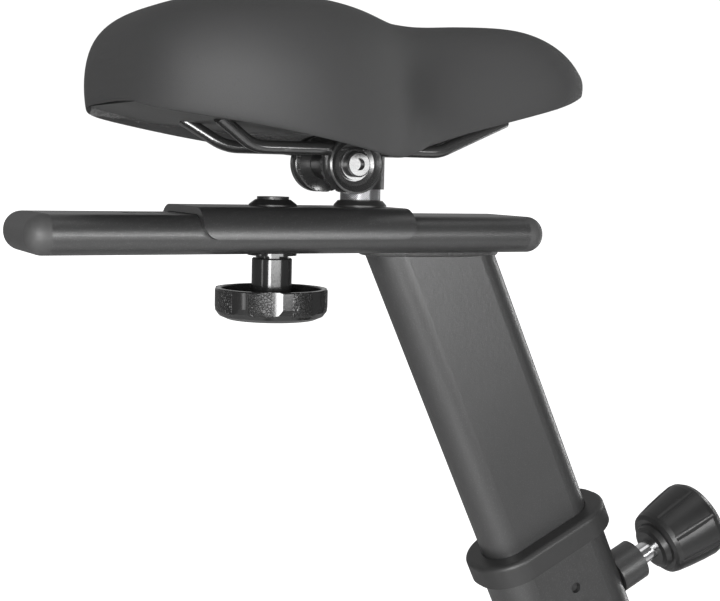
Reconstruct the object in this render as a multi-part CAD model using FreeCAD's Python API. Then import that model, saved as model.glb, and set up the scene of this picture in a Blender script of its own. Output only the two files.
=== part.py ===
"""Indoor exercise bike, in millimetres.

+X is forward (saddle nose), +Y is the rider's left and +Z is up. The origin lies on the floor under
the middle of the bike. Every physical piece is written as its own STEP file in parts/.
"""
import FreeCAD
import Part
import math
import os

V = FreeCAD.Vector
Y_AXIS = V(0, 1, 0)
Z_AXIS = V(0, 0, 1)
GAP = 0.3                   # air between neighbours that only nearly touch
RUNNING = 0.05              # radial play of a turning or sliding fit

# Overall layout
HALF_LENGTH = 545.0         # floor-plan half length, stabiliser back face to flywheel front
STABILISER_LENGTH = 500.0
STABILISER_Z = 55.0
STABILISER_DEPTH = 60.0
STABILISER_HEIGHT = 40.0

# Saddle post, rail and carriage
SEAT_LEAN = 24.9            # degrees back from vertical
PIN_X = -338.0              # saddle pin axis
RAIL_Z = 930.0              # middle of the saddle rail
RAIL_WIDTH = 62.0
RAIL_HEIGHT = 20.2
RAIL_BACK = -178.0          # from the pin axis
RAIL_FRONT = 93.0
RAIL_WALL = 2.0
CAP_LENGTH = 12.0
POST_OFFSET = 44.7          # post axis ahead of the pin, at the rail's underside
POST_WIDTH = 72.4
POST_THICK = 32.0
POST_CORNER = 15.0
POST_WALL = 2.5
POST_LENGTH = 430.0
POST_HOLE_PITCH = 25.0
COLLAR_TOP = 186.0          # down the post axis from the rail
COLLAR_LIP = 14.0
PIN_HEIGHT = 245.0          # spring pin, down the post axis from the rail
PLUNGER_R = 6.5
CARRIAGE_BACK = -103.0
CARRIAGE_FRONT = 17.5
CARRIAGE_SHEET = 3.8
CARRIAGE_EDGE = -2.0        # lower edge of the carriage sides, from the rail middle
KNOB_X = -52.1              # clamping knob axis, from the pin
CARRIAGE_TRAVEL = (-75.0, 30.0)
SADDLE_PIN_R = 11.1
SLEEVE_R = 13.0
RAIL_Y = 20.0               # the saddle's own rails, either side of the pin
RAIL_RISE = 45.2

# Outer tube that a post slides in
TUBE_WIDTH = 82.0
TUBE_THICK = 42.0
TUBE_CORNER = 19.0
TUBE_WALL = 2.8

# Drive
BB_X = -20.0
BB_Z = 330.0
FLY_X = 345.0
FLY_Z = 310.0
FLY_R = 200.0
FLY_HALF = 14.0
DRIVE_R = 95.0
DRIVEN_R = 28.0
BELT_IN = -32.0             # belt faces in Y
BELT_OUT = -48.0
BELT_THICK = 3.5
CRANK_LENGTH = 170.0
ARM_IN = 64.0
ARM_OUT = 80.0
AXLE_R = 7.5

# Fork, head and handlebar
HEAD_LEAN = 13.5
HEAD_TOP = 565.0            # up the head axis from the flywheel axle
HEAD_BOTTOM = 390.0
PIN_UP = HEAD_TOP - 56.0    # handlebar's spring pin
BAR_EXTENSION = 180.0       # handlebar post above the head collar
BAR_R = 15.0
BAR_WALL = 2.2

# Brake
BRAKE_ALONG = 270.0         # up the main tube from the crank axle
BRAKE_EAR = 335.0           # up the main tube
SHOE_ANGLE = 153.0          # magnet shoe round the flywheel


class Axis:
    """A line up a leaning tube, with the direction ahead of it."""

    def __init__(self, origin, lean):
        angle = math.radians(lean)
        self.origin = origin
        self.up = V(-math.sin(angle), 0, math.cos(angle))
        self.ahead = V(math.cos(angle), 0, math.sin(angle))

    def at(self, up, ahead=0.0, left=0.0):
        return self.origin + self.up * up + self.ahead * ahead + Y_AXIS * left


SEAT = Axis(V(PIN_X + POST_OFFSET, 0, RAIL_Z - RAIL_HEIGHT / 2), SEAT_LEAN)
HEAD = Axis(V(FLY_X, 0, FLY_Z), HEAD_LEAN)
BB = V(BB_X, 0, BB_Z)
FLY = V(FLY_X, 0, FLY_Z)
MAIN_TOP = HEAD.at(470)
MAIN_DIR = (MAIN_TOP - BB).normalize()
MAIN_AHEAD = V(MAIN_DIR.z, 0, -MAIN_DIR.x)
MAIN_LENGTH = (MAIN_TOP - BB).Length
PIN = V(PIN_X, 0, RAIL_Z)
TILT_PIVOT = PIN + V(-15.5, 0, 37.4)
BAR_TOP = HEAD.at(HEAD_TOP + BAR_EXTENSION)
BAR_Z = BAR_TOP.z + BAR_R
CONSOLE_PIVOT = V(BAR_TOP.x + 92, 0, BAR_Z + 62)
BRAKE_AXIS = BB + MAIN_DIR * BRAKE_ALONG
BRAKE_PIVOT = BB + MAIN_DIR * BRAKE_EAR + MAIN_AHEAD * 58
REAR_X = -HALF_LENGTH + STABILISER_DEPTH / 2
FRONT_X = 408.0
FEET = [(FRONT_X, 190), (FRONT_X, -190), (REAR_X, 215), (REAR_X, -215)]
WHEEL_X = FRONT_X + 67
WHEEL_Z = 38.0
WHEEL_R = 30.0
WHEEL_Y = 222.0


# ---- helpers -------------------------------------------------------------------------------

def rounded_face(centre, u, v, width, height, corner):
    """Rounded rectangle, width along u by height along v."""
    a = width / 2 - corner
    b = height / 2 - corner
    corners = [(a, b, 0), (-a, b, 90), (-a, -b, 180), (a, -b, 270)]

    def rim(index, turn):
        x, y, start = corners[index % 4]
        angle = math.radians(start + turn)
        return centre + u * (x + corner * math.cos(angle)) + v * (y + corner * math.sin(angle))

    edges = []
    for i in range(4):
        edges.append(Part.Arc(rim(i, 0), rim(i, 45), rim(i, 90)).toShape())
        if rim(i, 90).distanceToPoint(rim(i + 1, 0)) > 1e-6:
            edges.append(Part.LineSegment(rim(i, 90), rim(i + 1, 0)).toShape())
    return Part.Face(Part.Wire(edges))


def bar(start, end, u, v, width, height, corner, wall=0.0):
    """Straight rounded bar, or a tube when it has a wall."""
    run = end - start
    solid = rounded_face(start, u, v, width, height, corner).extrude(run)
    if wall:
        core = rounded_face(start - run, u, v, width - 2 * wall, height - 2 * wall, corner - wall)
        solid = solid.cut(core.extrude(run * 3))
    return solid


def cylinder(start, axis, radius, length):
    return Part.makeCylinder(radius, length, start, axis)


def ring(start, axis, outer, inner, length):
    return cylinder(start, axis, outer, length).cut(cylinder(start - axis, axis, inner, length + 2))


def across(radius, x, z, y0, y1):
    """Cylinder along Y."""
    return cylinder(V(x, min(y0, y1), z), Y_AXIS, radius, abs(y1 - y0))


def spun(points, start, axis):
    """Solid turned round axis from (radius, height) points."""
    side = Y_AXIS if abs(axis.dot(Y_AXIS)) < 0.9 else V(1, 0, 0)
    outline = [start + side * r + axis * h for r, h in points]
    face = Part.Face(Part.makePolygon(outline + [outline[0]]))
    return face.revolve(start, axis, 360)


def rod(points, radius, bend):
    """Round bar along points, with its corners bent to a radius."""
    edges = []
    last = points[0]
    for i in range(1, len(points) - 1):
        corner = points[i]
        back = (points[i - 1] - corner).normalize()
        on = (points[i + 1] - corner).normalize()
        half = math.acos(max(-1.0, min(1.0, back.dot(on)))) / 2
        trim = bend / math.tan(half)
        inner = (back + on).normalize()
        middle = corner + inner * (bend / math.sin(half) - bend)
        if (corner + back * trim).distanceToPoint(last) > 1e-6:
            edges.append(Part.LineSegment(last, corner + back * trim).toShape())
        edges.append(Part.Arc(corner + back * trim, middle, corner + on * trim).toShape())
        last = corner + on * trim
    edges.append(Part.LineSegment(last, points[-1]).toShape())
    path = Part.Wire(edges)
    heading = (points[1] - points[0]).normalize()
    section = Part.Wire([Part.Circle(points[0], heading, radius).toShape()])
    return path.makePipeShell([section], True, False)


def join(*shapes):
    solid = shapes[0]
    for other in shapes[1:]:
        solid = solid.fuse(other)
    return solid.removeSplitter()


def slab(x0, x1, y0, y1, z0, z1):
    return Part.makeBox(x1 - x0, y1 - y0, z1 - z0, V(x0, y0, z0))


def round_edges(shape, radius, chosen):
    edges = [e for e in shape.Edges if chosen(e)]
    return shape.makeFillet(radius, edges)


def group(*shapes):
    return Part.makeCompound([s for shape in shapes for s in shape.Solids])


def belt_line(grow):
    """Outline round both pulleys, grown outwards, as a face on the Y = 0 plane."""
    gap = FLY - BB
    tilt = math.asin((DRIVE_R - DRIVEN_R) / gap.Length)
    heading = math.atan2(gap.z, gap.x)
    big = DRIVE_R + grow
    small = DRIVEN_R + grow

    def on(centre, radius, angle):
        return centre + V(radius * math.cos(angle), 0, radius * math.sin(angle))

    top = heading + math.pi / 2 - tilt
    low = heading - math.pi / 2 + tilt
    edges = [
        Part.Arc(on(BB, big, top), on(BB, big, heading + math.pi), on(BB, big, low)).toShape(),
        Part.LineSegment(on(BB, big, low), on(FLY, small, low)).toShape(),
        Part.Arc(on(FLY, small, low), on(FLY, small, heading), on(FLY, small, top)).toShape(),
        Part.LineSegment(on(FLY, small, top), on(BB, big, top)).toShape(),
    ]
    return Part.Face(Part.Wire(edges))


def between(face, y0, y1):
    """A face on Y = 0, made solid from y0 to y1."""
    face = face.copy()
    face.translate(V(0, min(y0, y1), 0))
    return face.extrude(V(0, abs(y1 - y0), 0))


# ---- frame ---------------------------------------------------------------------------------

def outer_tube(axis, top, bottom, wall=TUBE_WALL):
    return bar(axis.at(bottom), axis.at(top), axis.ahead, Y_AXIS,
               TUBE_WIDTH, TUBE_THICK, TUBE_CORNER, wall)


def frame_parts():
    parts = {}
    shell_solid = across(26, BB_X, BB_Z, -23, 23)
    shell_bore = across(21, BB_X, BB_Z, -30, 30)
    parts["bottom_bracket_shell"] = shell_solid.cut(shell_bore)

    seat_top = -(COLLAR_TOP + 3)
    plunger_hole = cylinder(SEAT.at(-PIN_HEIGHT), SEAT.ahead, 7.5, 60)
    sight_hole = cylinder(SEAT.at(-224.5, 2, -60), Y_AXIS, 3.2, 60)
    seat_envelope = outer_tube(SEAT, seat_top, -650, 0)
    seat_tube = outer_tube(SEAT, seat_top, -650).cut(shell_solid)
    parts["seat_tube"] = seat_tube.cut(plunger_hole).cut(sight_hole)

    head_envelope = outer_tube(HEAD, HEAD_TOP, HEAD_BOTTOM, 0)
    head_hole = cylinder(HEAD.at(PIN_UP), HEAD.ahead * -1, 7.5, 60)
    crown = bar(HEAD.at(HEAD_BOTTOM - 26), HEAD.at(HEAD_BOTTOM), HEAD.ahead, Y_AXIS, 76, 184, 12)
    parts["head_tube"] = join(outer_tube(HEAD, HEAD_TOP, HEAD_BOTTOM).cut(head_hole), crown)

    rod_hole = cylinder(BRAKE_AXIS - MAIN_AHEAD * 60, MAIN_AHEAD, 7.0, 120)
    main_tube = bar(BB, MAIN_TOP + MAIN_DIR * 30, MAIN_AHEAD, Y_AXIS,
                    TUBE_WIDTH - 2, TUBE_THICK - 2, TUBE_CORNER - 1, TUBE_WALL)
    main_tube = main_tube.cut(shell_solid).cut(seat_envelope).cut(head_envelope).cut(crown)
    main_tube = largest(main_tube.cut(rod_hole))
    parts["main_tube"] = main_tube
    main_envelope = bar(BB, MAIN_TOP, MAIN_AHEAD, Y_AXIS,
                        TUBE_WIDTH - 2, TUBE_THICK - 2, TUBE_CORNER - 1)

    rear = V(REAR_X + 10, 0, STABILISER_Z + 24)
    run = (BB - rear).normalize()
    base = bar(rear, BB, V(run.z, 0, -run.x), Y_AXIS, 80, 40, 18, TUBE_WALL)
    rear_bar = stabiliser_envelope(REAR_X)
    front_bar = stabiliser_envelope(FRONT_X)
    floor_beam = bar(V(REAR_X, 0, STABILISER_Z), V(FRONT_X, 0, STABILISER_Z), Y_AXIS, Z_AXIS,
                     60, 30, 12, 2.5)
    floor_envelope = bar(V(REAR_X, 0, STABILISER_Z), V(FRONT_X, 0, STABILISER_Z), Y_AXIS, Z_AXIS,
                         60, 30, 12)
    parts["floor_beam"] = largest(floor_beam.cut(rear_bar).cut(front_bar))
    base = base.cut(shell_solid).cut(seat_envelope).cut(main_envelope)
    base = base.cut(rear_bar).cut(floor_envelope)
    parts["base_beam"] = largest(base)

    blades = []
    for side in (-1, 1):
        y = side * (ARM_IN + 13)
        blade = bar(HEAD.at(HEAD_BOTTOM - 26, 0, y), HEAD.at(-262, 0, y),
                    HEAD.ahead, Y_AXIS, 62, 26, 11, 2.2)
        sleeve = ring(HEAD.at(0, 0, y - 13), Y_AXIS, 14, AXLE_R + RUNNING, 26)
        core = cylinder(HEAD.at(0, 0, y - 14), Y_AXIS, 13.9, 28)
        blades.append(join(largest(blade.cut(front_bar).cut(core)), sleeve))
    parts["fork_blades"] = group(*blades)
    parts["rear_stabiliser"] = stabiliser_tube(REAR_X)
    parts["front_stabiliser"] = join(stabiliser_tube(FRONT_X), *wheel_brackets())
    parts["stabiliser_end_caps"] = group(*[end_cap(x, s) for x in (REAR_X, FRONT_X) for s in (-1, 1)])
    seat_boss = ring(SEAT.at(-PIN_HEIGHT, TUBE_WIDTH / 2 - 1), SEAT.ahead, 13, PLUNGER_R + RUNNING, 19)
    head_boss = ring(HEAD.at(PIN_UP, 1 - TUBE_WIDTH / 2), HEAD.ahead * -1, 13, PLUNGER_R + RUNNING, 19)
    brake_boss = ring(BRAKE_AXIS - MAIN_AHEAD * (TUBE_WIDTH / 2 - 2), MAIN_AHEAD * -1, 13, 5.4 + RUNNING, 20)
    head_room = outer_tube(HEAD, HEAD_TOP, HEAD_BOTTOM, 0)
    parts["welded_bosses"] = group(seat_boss.cut(seat_envelope), head_boss.cut(head_room),
                                   brake_boss.cut(main_envelope), pivot_bracket(main_envelope))
    parts["seat_tube_collar"] = collar(SEAT, seat_top, 1)
    parts["handlebar_collar"] = collar(HEAD, HEAD_TOP, -1)
    return parts


def largest(shape):
    return max(shape.Solids, key=lambda s: s.Volume)


def pivot_bracket(tube):
    """Two welded ears, the bridge between them and the pin that the magnet carrier turns on."""
    foot = BB + MAIN_DIR * BRAKE_EAR + MAIN_AHEAD * 38
    ears = [bar(foot + Y_AXIS * (y - 2), foot + Y_AXIS * (y + 2), MAIN_AHEAD, MAIN_DIR, 64, 34, 14)
            for y in (-27, 27)]
    low = foot - MAIN_AHEAD * 12
    bridge = bar(low - Y_AXIS * 26, low + Y_AXIS * 26, MAIN_AHEAD, MAIN_DIR, 30, 24, 4)
    pin = across(5, BRAKE_PIVOT.x, BRAKE_PIVOT.z, -31, 31)
    return join(bridge.cut(tube), ears[0].cut(tube), ears[1].cut(tube), pin)


def stabiliser_envelope(x):
    return bar(V(x, -STABILISER_LENGTH / 2, STABILISER_Z), V(x, STABILISER_LENGTH / 2, STABILISER_Z),
               V(1, 0, 0), Z_AXIS, STABILISER_DEPTH, STABILISER_HEIGHT, 18)


def stabiliser_tube(x):
    tube = bar(V(x, -STABILISER_LENGTH / 2, STABILISER_Z), V(x, STABILISER_LENGTH / 2, STABILISER_Z),
               V(1, 0, 0), Z_AXIS, STABILISER_DEPTH, STABILISER_HEIGHT, 18, 2.5)
    holes = [cylinder(V(fx, fy, 0), Z_AXIS, 5.3, 60) for fx, fy in FEET if fx == x]
    for hole in holes:
        tube = tube.cut(hole)
    return tube


def end_cap(x, side):
    """Plastic plug with a domed outer end."""
    face_y = side * STABILISER_LENGTH / 2
    head = bar(V(x, face_y, STABILISER_Z), V(x, face_y + side * 14, STABILISER_Z),
               V(1, 0, 0), Z_AXIS, STABILISER_DEPTH, STABILISER_HEIGHT, 18)
    head = round_edges(head, 11, lambda e: abs(e.BoundBox.YMin - (face_y + side * 14)) < 0.01
                       and abs(e.BoundBox.YMax - (face_y + side * 14)) < 0.01)
    plug = bar(V(x, face_y, STABILISER_Z), V(x, face_y - side * 16, STABILISER_Z),
               V(1, 0, 0), Z_AXIS, STABILISER_DEPTH - 5.4, STABILISER_HEIGHT - 5.4, 15)
    return join(head, plug)


def wheel_brackets():
    """Two plates and an axle for each transport wheel."""
    made = []
    for side in (-1, 1):
        middle = side * WHEEL_Y
        for plate in (-1, 1):
            y = middle + plate * 14.5
            arm = bar(V(0, y - 2, 0), V(0, y + 2, 0), V(1, 0, 0), Z_AXIS, 78, 30, 13)
            arm.translate(V(FRONT_X + 45, 0, STABILISER_Z - 10))
            made.append(arm.cut(stabiliser_envelope(FRONT_X)))
        made.append(across(5, WHEEL_X, WHEEL_Z, middle - 19, middle + 19))
    return made


def collar(axis, top, side):
    """Plastic bush that guides a post, with a lip over the tube's end and a hole for the pin."""
    lip_top = top + 3
    lip = bar(axis.at(lip_top - COLLAR_LIP), axis.at(lip_top), axis.ahead, Y_AXIS,
              TUBE_WIDTH + 11, TUBE_THICK + 11, TUBE_CORNER + 5)
    upper = [e for e in lip.Edges if all(abs((v.Point - axis.at(lip_top)).dot(axis.up)) < 0.01
                                         for v in e.Vertexes)]
    lip = lip.makeFillet(3.0, upper)
    socket = bar(axis.at(top), axis.at(lip_top - COLLAR_LIP - 1), axis.ahead, Y_AXIS,
                 TUBE_WIDTH + 2 * GAP, TUBE_THICK + 2 * GAP, TUBE_CORNER)
    sleeve = bar(axis.at(top), axis.at(top - 100), axis.ahead, Y_AXIS,
                 TUBE_WIDTH - 2 * TUBE_WALL - 2 * GAP, TUBE_THICK - 2 * TUBE_WALL - 2 * GAP,
                 TUBE_CORNER - TUBE_WALL)
    bore = bar(axis.at(top - 120), axis.at(top + 20), axis.ahead, Y_AXIS,
               POST_WIDTH + 2 * GAP, POST_THICK + 2 * GAP, POST_CORNER + GAP)
    pin_hole = cylinder(axis.at(top - 56), axis.ahead * side, 7.5, 60)
    return join(lip.cut(socket), sleeve).cut(bore).cut(pin_hole)


# ---- saddle post, rail and carriage ---------------------------------------------------------

def post_tube(axis, top, bottom):
    return bar(axis.at(bottom), axis.at(top), axis.ahead, Y_AXIS,
               POST_WIDTH, POST_THICK, POST_CORNER, POST_WALL)


def seat_post():
    post = post_tube(SEAT, 40, -POST_LENGTH)
    above = slab(PIN_X - 200, PIN_X + 300, -60, 60, RAIL_Z - RAIL_HEIGHT / 2, RAIL_Z + 200)
    post = post.cut(above)
    for i in range(-4, 4):
        post = post.cut(cylinder(SEAT.at(-PIN_HEIGHT - i * POST_HOLE_PITCH), SEAT.ahead, 5, 60))
    return post


def rail_bar(x0, x1, grow, wall=0.0):
    height = RAIL_HEIGHT + 2 * grow
    return bar(V(PIN_X + x0, 0, RAIL_Z), V(PIN_X + x1, 0, RAIL_Z), Y_AXIS, Z_AXIS,
               RAIL_WIDTH + 2 * grow, height, height / 2 - 0.05, wall)


def slot(x0, x1, radius):
    box = slab(PIN_X + x0, PIN_X + x1, -radius, radius, RAIL_Z - 30, RAIL_Z + 30)
    ends = [cylinder(V(PIN_X + x, 0, RAIL_Z - 30), Z_AXIS, radius, 60) for x in (x0, x1)]
    return join(box, *ends)


def seat_rail():
    back, front = CARRIAGE_TRAVEL
    return rail_bar(RAIL_BACK, RAIL_FRONT, 0, RAIL_WALL).cut(slot(KNOB_X + back - 2, KNOB_X + front + 2, 6))


def rail_cap(x, side):
    end = x + side * CAP_LENGTH
    head = rail_bar(min(x, end), max(x, end), 0)
    rim = [e for e in head.Edges if all(abs(v.Point.x - (PIN_X + end)) < 0.01 for v in e.Vertexes)]
    head = head.makeFillet(9.2, rim)
    inner = x - side * 14
    plug = rail_bar(min(x, inner), max(x, inner), -RAIL_WALL - 0.1)
    return join(head, plug)


def carriage():
    """Pressed sheet saddle that straddles the rail."""
    over = rail_bar(CARRIAGE_BACK, CARRIAGE_FRONT, GAP + CARRIAGE_SHEET)
    inner = rail_bar(CARRIAGE_BACK - 5, CARRIAGE_FRONT + 5, GAP)
    length = CARRIAGE_FRONT - CARRIAGE_BACK
    middle = V(PIN_X + (CARRIAGE_FRONT + CARRIAGE_BACK) / 2, -60, RAIL_Z + CARRIAGE_EDGE + 30)
    side_view = rounded_face(middle, V(1, 0, 0), Z_AXIS, length, 60, 8.5).extrude(V(0, 120, 0))
    bolt_hole = cylinder(PIN + V(KNOB_X, 0, 0), Z_AXIS, 5.1, 30)
    stub_hole = cylinder(PIN, Z_AXIS, 8.0, 30)
    return over.cut(inner).common(side_view).cut(bolt_hole).cut(stub_hole)


SHEET_TOP = RAIL_HEIGHT / 2 + GAP + CARRIAGE_SHEET


def carriage_boss():
    """Square-shouldered nut pressed into the carriage, over the knob's stud."""
    base = PIN + V(KNOB_X, 0, SHEET_TOP)
    outline = [(5.1, 0), (13, 0), (13, 0.8), (9.6, 3.4), (8.6, 3.6), (8.6, 5.0), (5.1, 5.0)]
    return spun(outline, base, Z_AXIS)


def saddle_pin():
    """Stub that carries the saddle clamp, with a knurled root and a welded flange."""
    outline = [(0, 0), (14.6, 0), (14.6, 1.0), (12.4, 3.4), (SADDLE_PIN_R, 3.4), (SADDLE_PIN_R, 28.8),
               (10.1, 29.8), (0, 29.8)]
    stub = spun(outline, PIN + V(0, 0, SHEET_TOP), Z_AXIS)
    weld = cylinder(PIN + V(0, 0, SHEET_TOP - CARRIAGE_SHEET), Z_AXIS, 8.0, CARRIAGE_SHEET)
    return join(stub, weld)


def carriage_knob():
    """Cup-shaped hand knob on its stud."""
    axis = PIN + V(KNOB_X, 0, 0)
    outline = [(0, -47.4), (16, -47.2), (24, -46.3), (28.0, -44.6), (30.1, -41.8), (30.7, -39.0), (30.7, -30.4),
               (30.2, -29.8), (27.6, -29.8), (27.1, -30.4), (27.0, -41.0), (10.8, -42.0),
               (10.8, -14.2), (10.2, -13.5), (8.6, -13.5), (8.6, -12.1), (13.2, -12.1), (13.2, -10.6), (4.95, -10.6),
               (4.95, 18.2), (0, 18.2)]
    knob = spun(outline, axis, Z_AXIS)
    for i in range(8):
        angle = math.radians(22.5 + 45 * i)
        offset = V(math.cos(angle), math.sin(angle), 0) * (30.7 + 39.0)
        knob = knob.cut(cylinder(axis + offset + V(0, 0, -60), Z_AXIS, 40.0, 50))
    return knob


def clamp_parts():
    """Saddle clamp: a sleeve on the pin, toothed discs and jaws on each side, and one cross bolt."""
    x, z = TILT_PIVOT.x, TILT_PIVOT.z
    parts = {}
    wrap = cylinder(PIN + V(0, 0, 24), Z_AXIS, SLEEVE_R, 19.5)
    neck = slab(x, PIN_X, -9, 9, z - 8, z + 6)
    sleeve = join(across(9.0, x, z, -13.0, 13.0), wrap, neck)
    pin_bore = cylinder(PIN, Z_AXIS, SADDLE_PIN_R + RUNNING, 80)
    parts["clamp_sleeve"] = sleeve.cut(pin_bore).cut(across(4.1, x, z, -20, 20))

    cheeks = []
    for side in (-1, 1):
        disc = across(15.6, x, z, side * 13.4, side * 16.4)
        for i in range(28):
            angle = 2 * math.pi * i / 28
            tooth = across(0.8, x + 15.8 * math.cos(angle), z + 15.8 * math.sin(angle), side * 13.4, side * 15.4)
            disc = disc.cut(tooth)
        jaw = join(across(13.0, x, z, side * 16.4, side * 20), slab(x - 13, x + 13, *ends(side, 16.4, 20), z, z + 11.5))
        cup = spun([(4.1, 0), (12.5, 0), (14.6, 0.8), (15.6, 2.6), (15.6, 6.0), (14.6, 6.4), (13.6, 5.6), (11.5, 3.6),
                    (9.0, 3.0), (4.1, 3.0)], V(x, side * 20, z), Y_AXIS * side)
        groove = Part.makeCylinder(3.5, 80, V(x - 40, side * RAIL_Y, PIN.z + RAIL_RISE), V(1, 0, 0))
        cheeks.append(join(disc, jaw, cup).cut(groove).cut(across(4.1, x, z, -40, 40)))
    parts["clamp_cheeks"] = group(*cheeks)

    washer = ring(V(x, -23.5, z), Y_AXIS * -1, 8.4, 4.0, 1.4)
    socket = [(0, 0), (6.8, 0), (6.8, 3.6), (6.0, 4.4), (3.2, 4.4), (3.2, 1.8), (0, 1.8)]
    head = spun(socket, V(x, -24.9, z), Y_AXIS * -1)
    tail = across(7.5, x, z, 23.5, 29.5)
    parts["clamp_bolt"] = join(across(4.0, x, z, -25, 24), washer, head, tail)
    return parts


def ends(side, near, far):
    return sorted((side * near, side * far))


def saddle_rails():
    """Two bent rods from the back of the saddle to its nose."""
    rods = []
    for side in (-1, 1):
        points = [PIN + V(-94, side * 28, 59.5), PIN + V(-72, side * RAIL_Y, RAIL_RISE),
                  PIN + V(38, side * RAIL_Y, RAIL_RISE), PIN + V(86, side * 10, 63.6)]
        rods.append(rod(points, 3.4, 22))
    return group(*rods)


def saddle_section(x, half, low, high, corner):
    """Closed rounded outline across the saddle at x."""
    centre = PIN + V(x, 0, (low + high) / 2)
    return rounded_face(centre, Y_AXIS, Z_AXIS, 2 * half, high - low, corner).OuterWire


def saddle_pad():
    rows = [(-143, 58, 70.5, 98, 12), (-135, 78, 70.5, 108, 17), (-95, 96, 63.5, 119, 24), (-50, 92, 60, 120, 24),
            (-10, 68, 59.2, 116, 22), (25, 38, 59.6, 112, 18), (80, 25, 68.6, 116, 16), (118, 22.5, 77.6, 110, 13),
            (142, 15, 81, 98, 7)]
    return Part.makeLoft([saddle_section(*row) for row in rows], True, True)


def saddle_base():
    """Moulded base under the padding, which the saddle's own rails plug into."""
    rows = [(-138, 56, 65, 69, 1.9), (-95, 84, 58, 62, 1.9), (-50, 78, 54.5, 58.5, 1.9),
            (-10, 54, 54.2, 57.6, 1.6), (25, 30, 54.4, 58, 1.7), (80, 20, 63, 67, 1.9), (120, 15, 72, 76, 1.9)]
    plate = Part.makeLoft([saddle_section(*row) for row in rows], True, True)
    return plate.cut(saddle_rails())


# ---- spring pins and knobs -------------------------------------------------------------------

def plunger(axis, up, side):
    start = axis.at(up, side * (POST_WIDTH / 2 + GAP))
    return cylinder(start, axis.ahead * side, PLUNGER_R, 42)


def pull_knob(start, axis, scale=1.0):
    """Tapered, fluted hand knob. start is the middle of its small end."""
    outline = [(0, 3), (6.55, 3), (6.55, -4), (11.5, -4), (14.2, -3), (15.2, 0.5), (18.2, 0.5),
               (20.6, 2.0), (21.6, 5.0), (23.2, 14.0), (24.6, 24.0), (25.4, 32.0), (25.0, 35.0),
               (22.8, 38.2), (18.0, 40.2), (10.0, 41.6), (0, 42.0)]
    knob = spun([(r * scale, h * scale) for r, h in outline], start, axis)
    side = Y_AXIS
    other = axis.cross(side)
    for i in range(8):
        angle = math.radians(45 * i + 22.5)
        out = side * math.cos(angle) + other * math.sin(angle)
        near = start + axis * (4 * scale) + out * (25.2 * scale)
        far = start + axis * (34 * scale) + out * (27.8 * scale)
        flute = Part.makeCone(4.2 * scale, 2.6 * scale, (far - near).Length, near, far - near)
        knob = knob.cut(flute)
    return knob


# ---- drive -----------------------------------------------------------------------------------

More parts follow.
